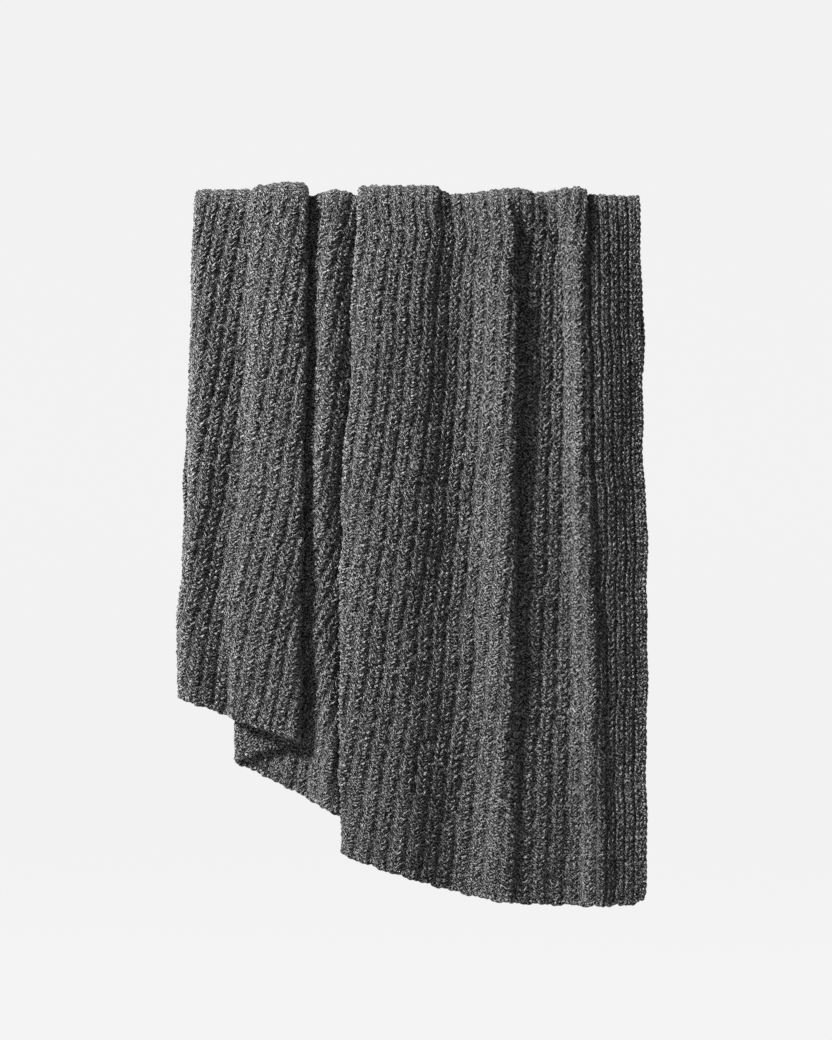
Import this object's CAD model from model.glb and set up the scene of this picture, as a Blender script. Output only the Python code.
import math

import bpy
import numpy as np
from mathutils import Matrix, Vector


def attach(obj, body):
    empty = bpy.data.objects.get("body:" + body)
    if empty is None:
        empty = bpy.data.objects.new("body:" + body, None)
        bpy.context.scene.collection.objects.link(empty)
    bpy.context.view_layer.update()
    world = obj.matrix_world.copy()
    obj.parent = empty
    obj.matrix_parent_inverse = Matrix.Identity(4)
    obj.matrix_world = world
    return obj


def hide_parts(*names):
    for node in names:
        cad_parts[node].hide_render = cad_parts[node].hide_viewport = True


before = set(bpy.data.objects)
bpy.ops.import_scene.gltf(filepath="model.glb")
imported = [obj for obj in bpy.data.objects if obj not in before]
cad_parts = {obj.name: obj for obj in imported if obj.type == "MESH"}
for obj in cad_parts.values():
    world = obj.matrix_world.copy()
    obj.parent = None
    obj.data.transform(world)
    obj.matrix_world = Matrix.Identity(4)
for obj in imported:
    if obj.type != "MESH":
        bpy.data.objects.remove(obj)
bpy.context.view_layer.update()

# Knitted throw hanging in loose pleats over a round rail, which isn't part of it.
# The cloth is one rectangle: s runs across it from the left selvedge and u up it from the
# front hem. It is laid along sections like the CAD model's, with folds that differ from its
# by some millimetres: at w, the distance along the cloth from the rail's top, positive down
# the front, a section is one path through the pleats, of points (x, r), where r is how far
# outside the rail the middle of the cloth lies. No cloth simulation is run.
# Lengths in the tables are millimetres; meshes are made in metres.

MM = 0.001
RAIL_R = 15.9
FLAT_WIDTH, FLAT_LENGTH = 1270.0, 1524.0
SIDE_BORDER = 95.0
CREST = math.pi / 2 * 30.0      # how far from the rail's top the cloth leaves the rail
RETURN = 50.0                   # how much of the left edge is folded behind
LEAN = 0.144                    # how far the columns drift to the left, per millimetre down
CROWD_FROM = 664.0              # s where the stretched left part meets the crowded right part
GATHER_LEFT, GATHER_RIGHT = 1.03, 0.90
CORNER = 26.0                   # size of the cloth's rounded corners

# (s, w) of the front hem, then (w, x) of the folds, ridges and hollows, left to right
HEM = [(0, 750), (170, 805), (380, 873), (490, 905), (670, 988), (810, 1058),
       (900, 1096), (1040, 1140), (1140, 1148), (1270, 1146)]
LEFT_FOLD = [(-730, -402), (-520, -388), (-310, -377), (0, -365), (120, -369),
             (510, -376), (650, -386), (760, -394), (860, -393)]
PANEL_EDGE = [(-730, -182), (0, -183), (920, -195)]
UNDER_FOLD = [(-730, -225), (-400, -236), (-100, -250), (0, -252), (450, -260), (950, -300)]
MAIN_FOLD = [(-600, -112), (0, -96), (280, -108), (570, -124), (860, -127), (1200, -124)]
RIGHT_EDGE = [(-340, 377), (0, 366), (220, 367), (450, 372), (610, 378), (1200, 376)]
HOLLOW_X = [(-730, -318), (-60, -280), (0, -278), (100, -286), (420, -292), (620, -325),
            (860, -312)]
TROUGH_X = [(-400, 84), (-120, 76), (0, 52), (200, 64), (1200, 70)]
RIDGE_1_X = [(-500, 146), (0, 146), (150, 149), (1200, 146)]
VALLEY_IN_X = [(-300, 182), (0, 168), (150, 168), (1200, 172)]
VALLEY_OUT_X = [(-300, 214), (0, 198), (110, 234), (480, 238), (700, 242), (1200, 254)]
RIDGE_2_X = [(-500, 268), (0, 258), (200, 264), (450, 268), (640, 276), (760, 288),
             (1190, 303)]

# (w, swing) of the S in the cloth to the right of the first and second ridge
TUCK = [(-200, 0), (-40, 5), (300, 6), (900, 2), (1190, 0)]
LAP = [(-260, 0), (-120, 8), (0, 13), (150, 8), (420, 7), (640, 2), (760, 0)]

# (w, r) of the same folds' layers, ridges and hollows
RETURN_R = [(-300, 2.0), (0, 3.8), (200, -6.5), (420, -6.0), (900, -4.0)]
LEFT_R = [(-700, 17.0), (0, 15.0), (200, 18.0), (420, 19.0), (600, 22.5), (860, 26.5)]
HOLLOW_R = [(-700, 12.0), (0, 15.0), (130, 12.5), (310, 6.5), (420, 9.0), (620, 12.5),
            (860, 12.5)]
PANEL_R = [(0, 25.5), (700, 26.0), (900, 28.5)]
UNDER_R = [(0, 15.0), (600, 15.0), (900, 6.0)]
BACKING_R = [(0, 3.8), (600, 4.0), (900, -3.5)]
BULGE_R = [(-400, 10.0), (0, 15.0), (150, 22.0), (480, 20.5), (700, 11.0), (840, 11.0),
           (960, 22.0)]
BULGE_AT = [(0, 0.55), (150, 0.48), (500, 0.48), (700, 0.55), (930, 0.8)]
MIDDLE_R = [(-300, 14.5), (0, 12.6), (200, 15.0), (700, 15.0), (930, 19.5)]
CROWN_R = [(-300, 25.0), (0, 21.5), (200, 30.0), (700, 29.5), (930, 31.0)]
MAIN_R = [(-300, 25.0), (0, 21.5), (200, 26.5), (700, 26.0), (930, 28.8)]
TROUGH_R = [(-300, 9.0), (0, 7.5), (130, 11.0), (420, 4.5), (1200, 4.0)]
RIDGE_1_R = [(-450, 14.0), (-150, 20.0), (0, 16.0), (120, 28.0), (800, 27.0), (1190, 20.0)]
VALLEY_R = [(-300, 8.0), (0, 10.0), (100, 1.5), (500, 0.5), (900, 0.5), (1190, 3.0)]
RIDGE_2_R = [(-300, 17.0), (0, 19.0), (100, 27.0), (700, 26.0), (1190, 19.0)]
BORDER_IN_R = [(-300, 5.0), (0, 7.0), (150, 19.0), (500, 19.5), (700, 14.0), (1190, 10.0)]
BORDER_OUT_R = [(-300, 4.5), (0, 4.0), (200, 2.5), (500, 1.0), (700, 4.0), (1190, 8.0)]

# The knit: stitch columns in the field, ribs in the side borders, and one row pitch
EDGE = 5.0              # the knit's mesh starts this far inside the finished edge
RIBS, RIB_CELLS = 5, 12
COLUMNS, COLUMN_CELLS = 48, 15
ROWS, ROW_CELLS = 143, 6
BAND_ROWS = 11          # rows of plain ribbing along each hem
REPEAT = 3              # rows from one bar of the waffle to the next
STRIPS = 6              # the field is this many meshes, side by side
COARSE = 3              # cells of the face for each cell of the wrong side
CLIMB = 0.78            # rows that a V's legs climb from its foot to its sides
FIELD_LEG, RIB_LEG = 7.6, 7.2       # how wide one leg of a V reaches
CHAIN_PITCH = 10.6      # length of one chain stitch along an edge
SPARE_ROWS = 6          # rows of jitter kept beyond the hems

random = np.random.default_rng(20)


# ---------------------------------------------------------------- the draped sections

def eased(at, table):
    """The table's value at a place, easing from each entry to the next."""
    keys, values = np.array(table, float).T
    i = np.clip(np.searchsorted(keys, at) - 1, 0, len(keys) - 2)
    t = np.clip((at - keys[i]) / (keys[i + 1] - keys[i]), 0.0, 1.0)
    return values[i] + (values[i + 1] - values[i]) * (1 - np.cos(np.pi * t)) / 2


def rounded(at, table):
    """The table's value on a smooth curve through its entries."""
    keys, values = np.array(table, float).T
    slopes = np.gradient(values, keys)
    i = np.clip(np.searchsorted(keys, at) - 1, 0, len(keys) - 2)
    span = keys[i + 1] - keys[i]
    t = np.clip((at - keys[i]) / span, 0.0, 1.0)
    return (values[i] * (1 + 2 * t) * (1 - t) ** 2 + slopes[i] * span * t * (1 - t) ** 2
            + values[i + 1] * t * t * (3 - 2 * t) + slopes[i + 1] * span * t * t * (t - 1))


def layer(keys, lap=0.0):
    """One layer of a pleat through its keys (x, r). A lap swings its runs into an S."""
    runs = []
    for (x0, r0), (x1, r1) in zip(keys, keys[1:]):
        t = np.linspace(0, 1, max(4, math.ceil(abs(x1 - x0) / 2)), endpoint=False)
        runs.append(np.stack([x0 + (x1 - x0) * t + lap * np.sin(2 * np.pi * t),
                              r0 + (r1 - r0) * (1 - np.cos(np.pi * t)) / 2], 1))
    return np.concatenate(runs)


def turn(apex, r0, r1, side):
    """A half circle from one layer to the next, round a fold at x = apex."""
    middle, radius, a = (r0 + r1) / 2, abs(r1 - r0) / 2, np.linspace(0, np.pi, 13)[1:-1]
    return np.stack([apex - side * radius * (1 - np.sin(a)),
                     middle + (r0 - middle) * np.cos(a)], 1)


def section(w, hidden):
    """The path at w, and how far along it each point is from the left fold's apex."""
    left, panel, under, main = (float(eased(w, t)) for t in
                                (LEFT_FOLD, PANEL_EDGE, UNDER_FOLD, MAIN_FOLD))
    r_return, r_left, r_panel, r_under, r_back, r_middle, r_main = (
        float(eased(w, t)) for t in (RETURN_R, LEFT_R, PANEL_R, UNDER_R, BACKING_R,
                                     MIDDLE_R, MAIN_R))
    hollow, trough, ridge_1, ridge_2 = (
        float(eased(w, t)) for t in (HOLLOW_X, TROUGH_X, RIDGE_1_X, RIDGE_2_X))
    r_trough, r_valley, r_in, r_out = (
        float(eased(w, t)) for t in (TROUGH_R, VALLEY_R, BORDER_IN_R, BORDER_OUT_R))
    valley = float(eased(w, VALLEY_IN_X))
    r_fold = r_middle + 8.4
    first, second, third, fourth, fifth = (abs(a - b) / 2 for a, b in (
        (r_return, r_left), (r_panel, r_under), (r_under, r_back), (r_back, r_middle),
        (r_middle, r_fold)))
    runs = [
        layer([(left + first + 260, r_return), (left + first, r_return)]),
        turn(left, r_return, r_left, -1),
        layer([(left + first, r_left), (hollow, float(eased(w, HOLLOW_R))),
               (under - 5, r_panel - 2.5),
               (under + 36, r_panel + 1.5),
               (panel - second, r_panel)]),
        turn(panel, r_panel, r_under, 1),
        layer([(panel - second, r_under), (under + third, r_under)]),
        turn(under, r_under, r_back, -1),
        layer([(under + third, r_back), (panel + 3, r_back),
               (panel + (main - panel) * float(eased(w, BULGE_AT)), float(eased(w, BULGE_R))),
               (main + 8, r_back),
               (hidden - fourth, r_back)]),
        turn(hidden, r_back, r_middle, 1),
        layer([(hidden - fourth, r_middle), (main + fifth, r_middle)]),
        turn(main, r_middle, r_fold, -1),
        layer([(main + fifth, r_fold), (main + 34, float(eased(w, CROWN_R))),
               (max(hidden + 3, -36), r_main), (trough, r_trough), (trough + 16, r_trough),
               (ridge_1, float(eased(w, RIDGE_1_R)))]),
        layer([(ridge_1, float(eased(w, RIDGE_1_R))), (valley, r_valley + 7)],
              float(eased(w, TUCK))),
        layer([(valley, r_valley + 7), (float(eased(w, VALLEY_OUT_X)), r_valley),
               (ridge_2, float(eased(w, RIDGE_2_R)))]),
        layer([(ridge_2, float(eased(w, RIDGE_2_R))), (ridge_2 + 24, r_in)],
              float(eased(w, LAP))),
        layer([(ridge_2 + 24, r_in), (372, r_out), (560, r_out)]),
    ]
    path = np.concatenate(runs)
    along = np.append(0.0, np.cumsum(np.hypot(*np.diff(path, axis=0).T)))
    along -= along[len(runs[0]) + len(runs[1]) // 2]
    last = len(path) - len(runs[-1])
    reach = np.interp(float(eased(w, RIGHT_EDGE)), path[last:, 0], along[last:])
    return path, along, reach


def right_end(w):
    """How far along the path the right selvedge lies."""
    gathered = GATHER_LEFT * CROWD_FROM + GATHER_RIGHT * (FLAT_WIDTH - CROWD_FROM)
    return gathered - RETURN + 0.03 * max(0.0, -w)


LEVELS = np.arange(-740.0, 1261.0, 8.0)
ALONG = np.arange(-250.0, 1260.0, 1.0)


def sections():
    """x and r at every level and distance along, with the folds' corners eased."""
    blur = np.exp(-0.5 * (np.arange(-9, 10) / 2.6) ** 2)
    blur /= blur.sum()
    xs, rs = [], []
    for w in LEVELS:
        hidden = -30.0
        for _ in range(3):
            path, along, reach = section(w, hidden)
            hidden += (right_end(w) - reach) / 2
        path, along, reach = section(w, hidden)
        for kept, column in ((xs, path[:, 0]), (rs, path[:, 1])):
            even = np.pad(np.interp(ALONG, along, column), 9, mode="edge")
            kept.append(np.convolve(even, blur, "valid"))
    return np.array(xs), np.array(rs)


PATH_X, PATH_R = sections()


def read(grid, w, h):
    """The grid's value at w and h, in straight lines between its entries."""
    i = np.clip((w - LEVELS[0]) / (LEVELS[1] - LEVELS[0]), 0, len(LEVELS) - 1.001)
    j = np.clip((h - ALONG[0]) / (ALONG[1] - ALONG[0]), 0, len(ALONG) - 1.001)
    a, b = i.astype(int), j.astype(int)
    p, q = i - a, j - b
    return ((1 - p) * ((1 - q) * grid[a, b] + q * grid[a, b + 1])
            + p * ((1 - q) * grid[a + 1, b] + q * grid[a + 1, b + 1]))


def draped(s, u):
    """Where the middle of the cloth lies, in metres, for arrays s and u in millimetres."""
    for side in (0, 1):
        for end in (0, 1):
            a = np.clip(1 - (s if side == 0 else FLAT_WIDTH - s) / CORNER, 0, 1)
            b = np.clip(1 - (u if end == 0 else FLAT_LENGTH - u) / CORNER, 0, 1)
            in_s = CORNER * a * (1 - np.sqrt(1 - b * b / 2))
            in_u = CORNER * b * (1 - np.sqrt(1 - a * a / 2))
            s = s + (in_s if side == 0 else -in_s)
            u = u + (in_u if end == 0 else -in_u)
    ripple = 1.1 * np.sin(s / 6.3) + 0.9 * np.sin(s / 3.3 + 1)
    w = rounded(s, HEM) + ripple + CREST - u
    home = GATHER_LEFT * np.minimum(s, CROWD_FROM) + GATHER_RIGHT * np.maximum(0, s - CROWD_FROM)
    free = FLAT_WIDTH - SIDE_BORDER
    upright = np.clip((free - s) / (free - CROWD_FROM), 0, 1)
    drift = np.where(w > 0, LEAN * w * upright, w * (0.45 * LEAN * upright + 0.03))
    h = home - RETURN - drift
    x, r = read(PATH_X, w, h), read(PATH_R, w, h)
    hang = np.clip((np.abs(w) - CREST) / 150, 0, 1)
    x_wave = 1.1 * np.sin(w / 41 + 0.4) + 0.9 * np.sin(w / 17.3 + x / 90)
    r_wave = (1.0 * np.sin(x / 33 + w / 71) + 0.8 * np.sin(w / 29 - x / 57 + 1.3)
              + 0.5 * np.sin(x / 13.7 + w / 23))
    x, r = x + hang * x_wave, r + hang * r_wave
    angle = np.clip(w / CREST, -1, 1) * np.pi / 2
    down = np.maximum(0, np.abs(w) - CREST)
    out = RAIL_R + r
    return np.stack([x, -out * np.sin(angle), out * np.cos(angle) - down], -1) * MM, w


# ---------------------------------------------------------------- the knit's relief

def smooth_noise(shape, cells):
    """Soft random lumps over a grid, about cells entries wide, roughly from -1 to 1."""
    spots = random.uniform(-1, 1, [n // c + 3 for n, c in zip(shape, cells)])
    at = [np.arange(n) / c for n, c in zip(shape, cells)]
    low = [a.astype(int) for a in at]
    t = [(lambda f: f * f * (3 - 2 * f))(a - b) for a, b in zip(at, low)]
    i, j, p, q = low[0][:, None], low[1][None], t[0][:, None], t[1][None]
    return ((1 - p) * ((1 - q) * spots[i, j] + q * spots[i, j + 1])
            + p * ((1 - q) * spots[i + 1, j] + q * spots[i + 1, j + 1]))


def stitches(across, row, lane, half):
    """How high a column's V stitches stand, from 0 in its groove to 1, and the row each
    point's yarn belongs to. across is how far each point is from the column's middle, and
    half how wide one leg reaches."""
    table = (lane.max() + 1, ROWS + SPARE_ROWS)
    lane_jitter = random.uniform(-0.5, 0.5, table)
    size_jitter = random.uniform(0.84, 1.12, table)
    q = np.abs(across)
    turned = row - CLIMB * q / half
    which = np.clip(np.floor(turned).astype(int) + SPARE_ROWS // 2, 0, ROWS + SPARE_ROWS - 1)
    slip = 0.14 * lane_jitter[lane, which]
    leg = np.clip(1 - ((q - 0.47 * half) / (0.56 * half)) ** 2, 0, 1) ** 0.5
    link = 0.5 - 0.5 * np.cos(2 * np.pi * np.clip(turned - np.floor(turned) + slip, 0, 1))
    return leg * (0.26 + 0.74 * link ** 0.6) * size_jitter[lane, which], turned


def relief(s_cell, u_cell):
    """The face's height over the middle of the cloth, in millimetres, at each grid point,
    and how many stitches along its yarn each point is."""
    n = len(s_cell)
    rib_span, wide = RIBS * RIB_CELLS, COLUMNS * COLUMN_CELLS
    rib_pitch = (SIDE_BORDER - EDGE) / RIBS
    pitch = (FLAT_WIDTH - 2 * SIDE_BORDER) / COLUMNS
    row = (u_cell / ROW_CELLS)[None] + 0 * s_cell[:, None]
    k = np.arange(n)
    in_field = (k >= rib_span) & (k <= rib_span + wide)
    column = np.clip((k - rib_span) // COLUMN_CELLS, 0, COLUMNS - 1)
    from_left = np.where(k < rib_span, k, k - rib_span - wide)
    rib = np.clip(from_left // RIB_CELLS, 0, RIBS - 1)
    across = np.where(in_field, ((k - rib_span) / COLUMN_CELLS - column - 0.5) * pitch,
                      (from_left / RIB_CELLS - rib - 0.5) * rib_pitch)
    across, lane = across[:, None] + 0 * row, np.where(in_field, column, 50 + rib)[:, None]
    lane = lane + np.where((k > rib_span + wide)[:, None], 10, 0) + 0 * row.astype(int)

    wale, field_yarn = stitches(across, row, lane, FIELD_LEG)
    gap = np.clip((np.abs(across) - 6.4) / 1.6, 0, 1)
    phase = (row - BAND_ROWS) % REPEAT
    bar = (np.clip(1 - np.abs(phase - 0.5) / 0.85, 0, 1)
           + np.clip(1 - np.abs(phase - 0.5 - REPEAT) / 0.85, 0, 1))
    bar = bar * bar * (3 - 2 * bar)
    loops = 0.75 + 0.25 * np.cos(2 * np.pi * across / 4.6)
    between = 0.2 + 2.6 * bar * loops
    waffle = 1.5 + 4.0 * wale + gap * between
    ribbed_band = 1.7 + 3.4 * wale + 0.5 * gap
    ribs, rib_yarn = stitches(across, row, lane, RIB_LEG)
    ribs = 1.7 + 3.3 * ribs
    band = np.clip(1 - (np.minimum(row, ROWS - row) - BAND_ROWS + 0.5), 0, 1)
    height = np.where(in_field[:, None], waffle * (1 - band) + ribbed_band * band, ribs)
    curls = 1 - 2.6 * np.abs(smooth_noise(height.shape, (3, 3))
                             + 0.35 * smooth_noise(height.shape, (2, 2)))
    height += 0.9 * np.clip(curls, -0.5, 1) - 0.25
    height += 0.5 * smooth_noise(height.shape, (2, 2)) + 0.4 * smooth_noise(height.shape, (6, 5))
    yarn = np.where(in_field[:, None], field_yarn, rib_yarn) + 0.37 * lane
    return height, yarn


def cloth():
    """The two faces' points, as grids over s and u, with the face's relief from 0 to 1 and
    its place along the yarn."""
    ribs = EDGE + (SIDE_BORDER - EDGE) * np.arange(RIBS * RIB_CELLS) / (RIBS * RIB_CELLS)
    field = np.linspace(SIDE_BORDER, FLAT_WIDTH - SIDE_BORDER, COLUMNS * COLUMN_CELLS + 1)
    s = np.concatenate([ribs, field, FLAT_WIDTH - ribs[::-1]])
    u = np.linspace(EDGE, FLAT_LENGTH - EDGE, ROWS * ROW_CELLS + 1)
    middle, w = draped(*np.meshgrid(s, u, indexing="ij"))
    normal = np.cross(np.gradient(middle, s, axis=0), np.gradient(middle, u, axis=1))
    normal /= np.linalg.norm(normal, axis=-1, keepdims=True)
    height, yarn = relief(s, np.arange(len(u), dtype=float))
    height *= 1 - 0.2 * np.exp(-((w / 60) ** 2))
    back = -(3.1 + 0.8 * np.cos(2 * np.pi * (s - SIDE_BORDER) / 22.5)[:, None]
             * (0.7 + 0.3 * np.cos(2 * np.pi * np.arange(len(u)) / ROW_CELLS)[None]))
    face = middle + normal * (height * MM)[..., None]
    wrong = middle + normal * (back * MM)[..., None]
    return s, u, face, wrong, np.clip((height - 1.4) / 4.2, 0, 1), yarn


S, U, FACE, WRONG, RELIEF, YARN = cloth()


# ---------------------------------------------------------------- meshes

def quads(ids):
    """The four corners of every cell in a grid of point numbers."""
    cells = np.stack([ids[:-1, :-1], ids[1:, :-1], ids[1:, 1:], ids[:-1, 1:]], -1)
    return cells.reshape(-1, 4)


def mesh_object(name, points, loops, sizes, flat_from=None, **at_points):
    """A mesh object from points, and polygons as one run of corners with their sizes. The
    polygons from flat_from on are shaded flat, and at_points are values kept at each point."""
    mesh = bpy.data.meshes.new(name)
    mesh.vertices.add(len(points))
    mesh.vertices.foreach_set("co", np.asarray(points, np.float32).ravel())
    mesh.loops.add(len(loops))
    mesh.loops.foreach_set("vertex_index", np.asarray(loops, np.int32))
    mesh.polygons.add(len(sizes))
    mesh.polygons.foreach_set("loop_start",
                              np.append(0, np.cumsum(sizes)[:-1]).astype(np.int32))
    soft = np.ones(len(sizes), bool)
    if flat_from is not None:
        soft[flat_from:] = False
    mesh.polygons.foreach_set("use_smooth", soft)
    for attribute, values in at_points.items():
        data = mesh.attributes.new(attribute, "FLOAT", "POINT").data
        data.foreach_set("value", np.asarray(values, np.float32))
    mesh.update(calc_edges=True)
    mesh.validate()
    piece = bpy.data.objects.new(name, mesh)
    bpy.context.scene.collection.objects.link(piece)
    return piece


def strip(name, i0, i1, j0, j1):
    """The closed stretch of cloth between two grid columns and two grid rows."""
    wide, long = i1 - i0 + 1, j1 - j0 + 1
    rough_wide, rough_long = (wide - 1) // COARSE + 1, (long - 1) // COARSE + 1
    top = np.arange(wide * long).reshape(wide, long)
    under = wide * long + np.arange(rough_wide * rough_long).reshape(rough_wide, rough_long)

    def wall(edge, rough, turned):
        runs = np.stack([edge[k:len(edge) - COARSE + k:COARSE] for k in range(COARSE)]
                        + [edge[COARSE::COARSE], rough[1:], rough[:-1]], -1)
        return runs[:, ::-1] if turned else runs

    walls = np.concatenate([
        wall(top[:, 0], under[:, 0], True), wall(top[:, -1], under[:, -1], False),
        wall(top[0], under[0], False), wall(top[-1], under[-1], True)])
    four = np.concatenate([quads(top), quads(under)[:, ::-1]])
    points = np.concatenate([FACE[i0:i1 + 1, j0:j1 + 1].reshape(-1, 3),
                             WRONG[i0:i1 + 1:COARSE, j0:j1 + 1:COARSE].reshape(-1, 3)])
    heights = np.concatenate([RELIEF[i0:i1 + 1, j0:j1 + 1].ravel(),
                              np.full(under.size, 0.45)])
    along = np.concatenate([YARN[i0:i1 + 1, j0:j1 + 1].ravel(),
                            YARN[i0:i1 + 1:COARSE, j0:j1 + 1:COARSE].ravel()])
    sizes = np.concatenate([np.full(len(four), 4), np.full(len(walls), COARSE + 3)])
    return mesh_object(name, points, np.concatenate([four.ravel(), walls.ravel()]), sizes,
                       flat_from=len(four), relief=heights, yarn=along)


def chained_edge(name, s, u):
    """A chained cord along the cloth's edge through the points (s, u)."""
    centre, _ = draped(s, u)
    step = 0.8
    side_s, _ = draped(s + step, u)
    side_u, _ = draped(s, u + step)
    normal = np.cross(side_s - centre, side_u - centre)
    normal /= np.linalg.norm(normal, axis=1, keepdims=True)
    way = np.gradient(centre, axis=0)
    way /= np.linalg.norm(way, axis=1, keepdims=True)
    across = np.cross(way, normal)
    across /= np.linalg.norm(across, axis=1, keepdims=True)
    normal = np.cross(across, way)
    run = np.append(0, np.cumsum(np.linalg.norm(np.diff(centre, axis=0), axis=1))) / MM
    around = 18
    angle = np.arange(around) * 2 * np.pi / around
    turned = np.pi * run[:, None] / CHAIN_PITCH
    strand = np.abs(np.cos(angle[None] - turned)) ** 0.8
    radius = 2.9 + 1.8 * strand + 0.8 * smooth_noise((len(run), around), (3, 3))
    ends = np.minimum(run, run[-1] - run)
    radius *= np.sqrt(np.clip(1 - (1 - np.clip(ends / 4.0, 0, 1)) ** 2, 0.02, 1))[:, None]
    ring = (centre[:, None] + MM * radius[..., None] * (
        np.cos(angle)[None, :, None] * normal[:, None]
        + np.sin(angle)[None, :, None] * across[:, None]))
    count = len(run)
    ids = np.arange(count * around).reshape(count, around)
    nxt = np.roll(ids, -1, axis=1)
    four = np.stack([ids[:-1], nxt[:-1], nxt[1:], ids[1:]], -1).reshape(-1, 4)
    points = np.concatenate([ring.reshape(-1, 3), centre[[0, -1]]])
    caps = np.concatenate([
        np.stack([nxt[0], ids[0], np.full(around, count * around)], -1),
        np.stack([ids[-1], nxt[-1], np.full(around, count * around + 1)], -1)])
    loops = np.concatenate([four.ravel(), caps.ravel()])
    sizes = np.concatenate([np.full(len(four), 4), np.full(len(caps), 3)])
    heights = np.append(np.clip(strand, 0, 1).ravel() * 0.8 + 0.1, [0.5, 0.5])
    along = np.append(np.repeat(run / CHAIN_PITCH, around), [0.0, 0.0])
    return mesh_object(name, points, loops, sizes, relief=heights, yarn=along)


rib_end, field_end = RIBS * RIB_CELLS, RIBS * RIB_CELLS + COLUMNS * COLUMN_CELLS
last_s, last_u = len(S) - 1, len(U) - 1
band = BAND_ROWS * ROW_CELLS
each = COLUMNS * COLUMN_CELLS // STRIPS

# Each knitted piece: its name, CAD node, material, and cells of the cloth (i0, i1, j0, j1)
knits = [
    ("side_border_left_knit", "side_border_left", "rib_yarn", (0, rib_end, 0, last_u)),
    ("side_border_right_knit", "side_border_right", "rib_yarn", (field_end, last_s, 0, last_u)),
    ("end_border_front_knit", "end_border_front", "rib_yarn", (rib_end, field_end, 0, band)),
    ("end_border_back_knit", "end_border_back", "rib_yarn",
     (rib_end, field_end, last_u - band, last_u)),
]
knits += [
    (f"field_knit_{n + 1}", "field_knit", "field_yarn",
     (rib_end + n * each, rib_end + (n + 1) * each, band, last_u - band))
    for n in range(STRIPS)]
pieces = {name: (strip(name, *cells), cad_node, slot, cells)
          for name, cad_node, slot, cells in knits}

# Each chained edge: its name, CAD node, and the points (s, u) that it follows
along_u = np.linspace(0.5, FLAT_LENGTH - 0.5, 900)
along_s = np.linspace(7.0, FLAT_WIDTH - 7.0, 840)
INSET = 4               # how far inside the finished edge a chain's middle runs
chains = [
    ("cast_on_chain", "cast_on_edge", along_s, 0 * along_s + INSET),
    ("bind_off_chain", "bind_off_edge", along_s, 0 * along_s + FLAT_LENGTH - INSET),
    ("selvedge_left_chain", "selvedge_chain_left", 0 * along_u + INSET, along_u),
    ("selvedge_right_chain", "selvedge_chain_right", 0 * along_u + FLAT_WIDTH - INSET, along_u),
]
edges = {name: (chained_edge(name, s, u), cad_node) for name, cad_node, s, u in chains}


# ---------------------------------------------------------------- the care label

LABEL_W, LABEL_L, LABEL_X = 36.0, 52.0, 340.0
LABEL_UP = 24.0         # from the back hem to the label's free end
LABEL_THICK = 0.7
STITCHES, STITCH_PITCH, STITCH_LENGTH = 5, 0.36, 0.2    # pitch and length in half label widths
THREAD_SIDES, THREAD_RINGS = 8, 7


def label():
    """A blank satin tape sewn by its top end to the wrong side, above the back hem."""
    top_u = FLAT_LENGTH - LABEL_UP - LABEL_L
    probe = np.linspace(FLAT_WIDTH - 90, FLAT_WIDTH - 5, 60)
    where, _ = draped(probe, 0 * probe + top_u)
    middle_s = float(np.interp(LABEL_X * MM, where[:, 0], probe))
    a = np.linspace(-1, 1, 19)
    b = np.linspace(0, 1, 27)
    sa, ub = np.meshgrid(middle_s + a * LABEL_W / 2 / GATHER_RIGHT, top_u + b * LABEL_L,
                         indexing="ij")
    at, _ = draped(sa, ub)
    normal = np.array([0.0, -1.0, 0.0])
    hang = 4.9 + 2.2 * b[None] ** 1.5 + 0.35 * np.sin(3 * a[:, None] + 5 * b[None])
    front = at.copy()
    front[..., 1] = at[:, :1, 1].mean() - hang * MM
    rear = front - normal * LABEL_THICK * MM
    wide, long = len(a), len(b)
    ids = np.arange(wide * long).reshape(wide, long)
    under = ids + wide * long
    ring = np.concatenate([ids[:, 0], ids[-1, 1:], ids[-2::-1, -1], ids[0, -2:0:-1]])
    low = ring + wide * long
    sides = np.stack([ring, low, np.roll(low, -1), np.roll(ring, -1)], -1)
    four = np.concatenate([quads(ids), quads(under)[:, ::-1], sides])
    points = np.concatenate([front.reshape(-1, 3), rear.reshape(-1, 3)])
    tape = mesh_object("care_label_tape", points, four.ravel(), np.full(len(four), 4),
                       flat_from=len(four) - len(sides))
    verts, faces = [], []
    sides_of = range(THREAD_SIDES)
    for k in range(STITCHES):
        left = -0.82 + STITCH_PITCH * k
        xs = np.interp(np.linspace(left, left + STITCH_LENGTH, THREAD_RINGS), a, front[:, 2, 0])
        y, z = front[:, 2, 1].mean() - 0.25 * MM, front[:, 2, 2].mean()
        for m, x in enumerate(xs):
            lift = 0.45 * math.sin(math.pi * m / (THREAD_RINGS - 1))
            for c in sides_of:
                t = 2 * math.pi * c / THREAD_SIDES
                verts.append((x, y - (lift + 0.35 * math.cos(t)) * MM,
                              z + 0.4 * math.sin(t) * MM))
        base = k * THREAD_SIDES * THREAD_RINGS
        for m in range(THREAD_RINGS - 1):
            ring_at = base + m * THREAD_SIDES
            next_at = ring_at + THREAD_SIDES
            for c in sides_of:
                d = (c + 1) % THREAD_SIDES
                faces.append((ring_at + c, next_at + c, next_at + d, ring_at + d))
        end = base + THREAD_SIDES * (THREAD_RINGS - 1)
        faces.append(tuple(base + c for c in sides_of))
        faces.append(tuple(end + c for c in reversed(sides_of)))
    thread = mesh_object("care_label_thread", verts, [i for f in faces for i in f],
                         np.array([len(f) for f in faces]))
    return tape, thread


tape, thread = label()


# ---------------------------------------------------------------- materials

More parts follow.
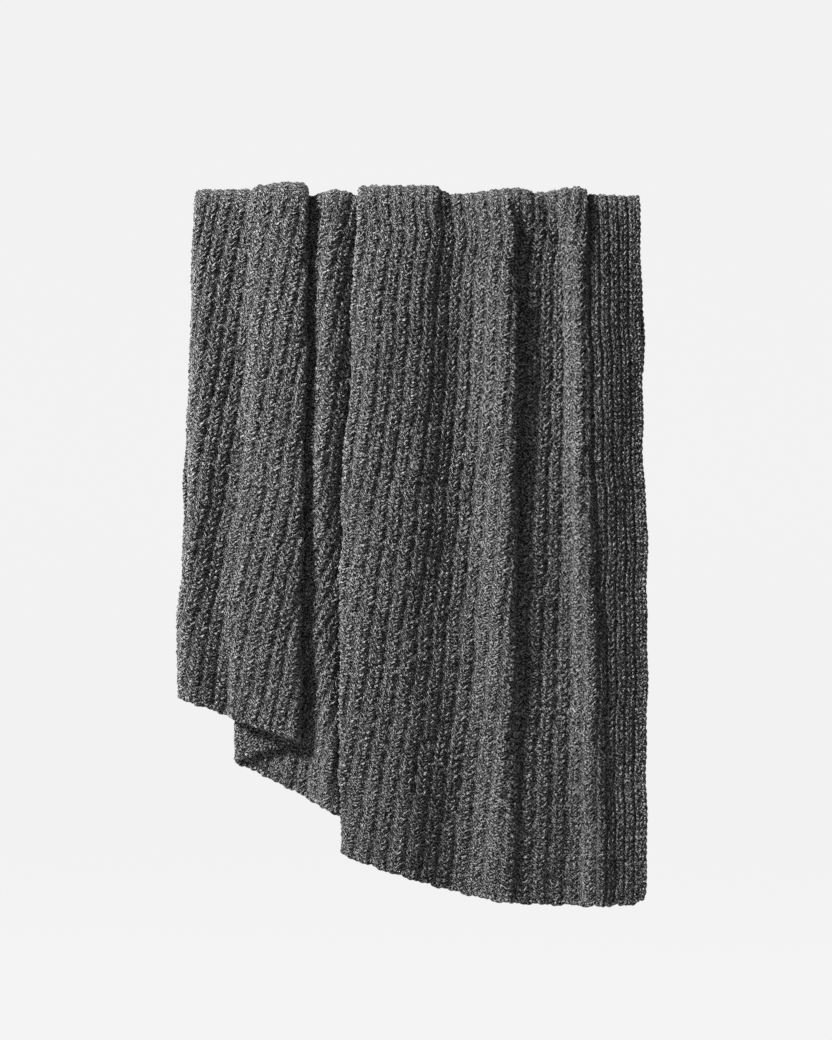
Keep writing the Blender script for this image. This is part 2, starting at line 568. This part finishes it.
def node(tree, kind, **settings):
    """A new node. A setting that starts with _ is an input's value, and others are its own."""
    made = tree.nodes.new(kind)
    for key, value in settings.items():
        if key.startswith("_"):
            made.inputs[key[1:].replace("_", " ")].default_value = value
        else:
            setattr(made, key, value)
    return made


def ramp(tree, source, stops):
    """A grey colour ramp on a source, with stops (place, grey)."""
    made = tree.nodes.new("ShaderNodeValToRGB")
    for element, (at, grey) in zip(made.color_ramp.elements, (stops[0], stops[-1])):
        element.position, element.color = at, (grey, grey, grey, 1)
    for at, grey in stops[1:-1]:
        made.color_ramp.elements.new(at).color = (grey, grey, grey, 1)
    tree.links.new(source, made.inputs["Fac"])
    return made.outputs["Color"]


def times(tree, a, b):
    """One colour times another, each a socket or a fixed colour."""
    made = node(tree, "ShaderNodeMix", data_type="RGBA", blend_type="MULTIPLY")
    made.inputs["Factor"].default_value = 1.0
    for value, socket in ((a, made.inputs[6]), (b, made.inputs[7])):
        if isinstance(value, tuple):
            socket.default_value = value
        else:
            tree.links.new(value, socket)
    return made.outputs[2]


def maths(tree, operation, *values):
    """A sum on sockets and fixed numbers."""
    made = node(tree, "ShaderNodeMath", operation=operation)
    for value, socket in zip(values, made.inputs):
        if isinstance(value, (int, float)):
            socket.default_value = value
        else:
            tree.links.new(value, socket)
    return made.outputs[0]


def material(name):
    """A new material, with its tree, its shader and the object's own coordinates."""
    made = bpy.data.materials.new(name)
    made.use_nodes = True
    tree = made.node_tree
    where = tree.nodes.new("ShaderNodeTexCoord").outputs["Object"]
    return made, tree, tree.nodes["Principled BSDF"], where


# How bright the chenille is from the dark between its tufts to the loose ends on top
PILE = [(0.12, 0.0), (0.42, 0.16), (0.62, 1.3), (0.88, 5.0)]


def chenille(name, tint, depth, curl):
    """Matt charcoal chenille: a curly pile of tufts a few millimetres wide, and fuzz."""
    made, tree, shader, where = material(name)
    wobble = node(tree, "ShaderNodeTexNoise", _Scale=curl * 0.75, _Detail=1.0)
    tuft = node(tree, "ShaderNodeTexNoise", _Scale=curl, _Detail=1.0, _Distortion=0.6)
    fibre = node(tree, "ShaderNodeTexNoise", _Scale=1500.0, _Detail=2.0, _Roughness=0.6)
    lot = node(tree, "ShaderNodeTexNoise", _Scale=9.0, _Detail=2.0)
    for texture in (wobble, tuft, fibre, lot):
        tree.links.new(where, texture.inputs["Vector"])
    heights = node(tree, "ShaderNodeAttribute", attribute_name="relief")
    yarn = node(tree, "ShaderNodeAttribute", attribute_name="yarn")
    turns = maths(tree, "MULTIPLY_ADD", wobble.outputs["Fac"], 13.0,
                  maths(tree, "MULTIPLY", yarn.outputs["Fac"], 4 * math.pi))
    strand = maths(tree, "MULTIPLY_ADD", maths(tree, "SINE", turns), 0.36, 0.28)
    tufted = maths(tree, "MULTIPLY_ADD", tuft.outputs["Fac"], 2.5, -1.03)
    curly = maths(tree, "ADD", strand, tufted)
    pile = ramp(tree, curly, PILE)
    worn = ramp(tree, lot.outputs["Fac"], [(0.3, 0.92), (0.7, 1.06)])
    hollow = ramp(tree, heights.outputs["Fac"], [(0.0, 0.55), (0.35, 0.86), (0.85, 1.08)])
    fuzz = ramp(tree, fibre.outputs["Fac"], [(0.3, 0.8), (0.7, 1.2)])
    colour = times(tree, times(tree, times(tree, times(tree, tint, pile), worn), hollow), fuzz)
    tree.links.new(colour, shader.inputs["Base Color"])
    rough = node(tree, "ShaderNodeMapRange", _To_Min=0.82, _To_Max=0.98)
    tree.links.new(fibre.outputs["Fac"], rough.inputs["Value"])
    tree.links.new(rough.outputs["Result"], shader.inputs["Roughness"])
    shader.inputs["Specular IOR Level"].default_value = 0.22
    shader.inputs["Sheen Weight"].default_value = 0.25
    shader.inputs["Sheen Roughness"].default_value = 0.45
    shader.inputs["Sheen Tint"].default_value = (0.85, 0.86, 0.88, 1)
    fine = node(tree, "ShaderNodeBump", _Strength=0.6, _Distance=0.0006)
    coarse = node(tree, "ShaderNodeBump", _Strength=1.0, _Distance=depth)
    tree.links.new(fibre.outputs["Fac"], fine.inputs["Height"])
    tree.links.new(curly, coarse.inputs["Height"])
    tree.links.new(fine.outputs["Normal"], coarse.inputs["Normal"])
    tree.links.new(coarse.outputs["Normal"], shader.inputs["Normal"])
    return made


def satin():
    """Off-white satin tape with a fine twill."""
    made, tree, shader, where = material("label_satin")
    weave = node(tree, "ShaderNodeTexWave", bands_direction="DIAGONAL", _Scale=260.0,
                 _Distortion=0.6, _Detail=1.0)
    tree.links.new(where, weave.inputs["Vector"])
    shade = ramp(tree, weave.outputs["Fac"], [(0.0, 0.86), (1.0, 1.0)])
    tree.links.new(times(tree, (0.56, 0.55, 0.53, 1), shade), shader.inputs["Base Color"])
    rough = node(tree, "ShaderNodeMapRange", _To_Min=0.32, _To_Max=0.5)
    tree.links.new(weave.outputs["Fac"], rough.inputs["Value"])
    tree.links.new(rough.outputs["Result"], shader.inputs["Roughness"])
    shader.inputs["Sheen Weight"].default_value = 0.15
    bump = node(tree, "ShaderNodeBump", _Strength=0.5, _Distance=0.0002)
    tree.links.new(weave.outputs["Fac"], bump.inputs["Height"])
    tree.links.new(bump.outputs["Normal"], shader.inputs["Normal"])
    return made


def sewing_thread():
    """Dark twisted sewing thread."""
    made, tree, shader, where = material("label_thread")
    twist = node(tree, "ShaderNodeTexWave", bands_direction="DIAGONAL", _Scale=700.0,
                 _Distortion=0.3)
    tree.links.new(where, twist.inputs["Vector"])
    shade = ramp(tree, twist.outputs["Fac"], [(0.0, 0.6), (1.0, 1.2)])
    tree.links.new(times(tree, (0.1, 0.1, 0.1, 1), shade), shader.inputs["Base Color"])
    shader.inputs["Roughness"].default_value = 0.55
    bump = node(tree, "ShaderNodeBump", _Strength=0.6, _Distance=0.0002)
    tree.links.new(twist.outputs["Fac"], bump.inputs["Height"])
    tree.links.new(bump.outputs["Normal"], shader.inputs["Normal"])
    return made


CHARCOAL = (0.085, 0.085, 0.0865, 1)
materials = {
    "field_yarn": chenille("field_yarn", CHARCOAL, 0.0022, 310.0),
    "rib_yarn": chenille("rib_yarn", CHARCOAL, 0.0021, 320.0),
    "edge_yarn": chenille("edge_yarn", CHARCOAL, 0.0018, 330.0),
    "label_satin": satin(),
    "label_thread": sewing_thread(),
}


def dressed(piece, slot, *nodes):
    """Gives a piece its material, its body and the CAD nodes that it stands for."""
    piece.data.materials.append(materials[slot])
    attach(piece, "root")
    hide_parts(*nodes)


for piece, cad_node, slot, _ in pieces.values():
    dressed(piece, slot, cad_node)
for piece, cad_node in edges.values():
    dressed(piece, "edge_yarn", cad_node)
dressed(tape, "label_satin", "care_label")
dressed(thread, "label_thread", "label_stitches")


# ---------------------------------------------------------------- studio

def paper():
    """Pale paper that glows behind the throw and on the wall, and is plain in front of it."""
    made, tree, shader, where = material("backdrop")
    split = tree.nodes.new("ShaderNodeSeparateXYZ")
    tree.links.new(where, split.inputs[0])
    for socket, near, far in (("Emission Strength", 0.0, 0.876), ("Base Color", 0.3, 0.02)):
        fade = node(tree, "ShaderNodeMapRange", interpolation_type="SMOOTHSTEP",
                    _From_Min=-1.2, _From_Max=1.3, _To_Min=near, _To_Max=far)
        tree.links.new(split.outputs["Y"], fade.inputs["Value"])
        tree.links.new(fade.outputs["Result"], shader.inputs[socket])
    shader.inputs["Emission Color"].default_value = (1, 1, 1, 1)
    shader.inputs["Roughness"].default_value = 0.95
    shader.inputs["Specular IOR Level"].default_value = 0.0
    return made


def backdrop():
    """A seamless pale sweep: floor, a wide curve and a wall."""
    floor_z, wall_y, bend = -1.62, 7.4, 1.2
    profile = [(-9.0, floor_z), (wall_y - bend, floor_z)]
    profile += [(wall_y - bend + bend * math.sin(a), floor_z + bend * (1 - math.cos(a)))
                for a in np.linspace(0, math.pi / 2, 25)[1:]]
    profile.append((wall_y, 6.0))
    points = [(x, y, z) for x in (-9.0, 9.0) for y, z in profile]
    count = len(profile)
    faces = [(i, i + 1, count + i + 1, count + i) for i in range(count - 1)]
    sweep = mesh_object("backdrop", points, [i for f in faces for i in f],
                        np.full(len(faces), 4))
    sweep.data.materials.append(paper())


def area_light(name, place, aim, size, watts):
    """A soft square lamp at a place, turned towards its aim."""
    data = bpy.data.lights.new(name, "AREA")
    data.energy, data.size = watts, size
    lamp = bpy.data.objects.new(name, data)
    lamp.location = place
    lamp.rotation_mode = "QUATERNION"
    lamp.rotation_quaternion = (Vector(aim) - Vector(place)).to_track_quat("-Z", "Y")
    bpy.context.scene.collection.objects.link(lamp)


backdrop()
area_light("key", (-2.7, -1.6, 1.55), (0, 0, -0.5), 0.6, 300)
area_light("fill", (1.2, -4.6, 0.6), (0, 0, -0.5), 2.6, 8)
area_light("back_left", (-2.2, 1.9, 1.4), (0, 0, -0.4), 1.6, 60)
area_light("back_right", (2.2, 1.9, 1.0), (0, 0, -0.4), 1.6, 50)

world = bpy.data.worlds.new("studio")
world.use_nodes = True
world.node_tree.nodes["Background"].inputs["Color"].default_value = (1, 1, 1, 1)
world.node_tree.nodes["Background"].inputs["Strength"].default_value = 0.13
bpy.context.scene.world = world
bpy.context.scene.view_settings.view_transform = "Standard"

eye = bpy.data.cameras.new("camera")
eye.lens, eye.sensor_width = 104.6, 36.0
camera = bpy.data.objects.new("camera", eye)
camera.location = (-0.003, -5.0, -0.513)
camera.rotation_euler = (math.pi / 2, 0, 0)
bpy.context.scene.collection.objects.link(camera)
bpy.context.scene.camera = camera

bpy.context.view_layer.update()
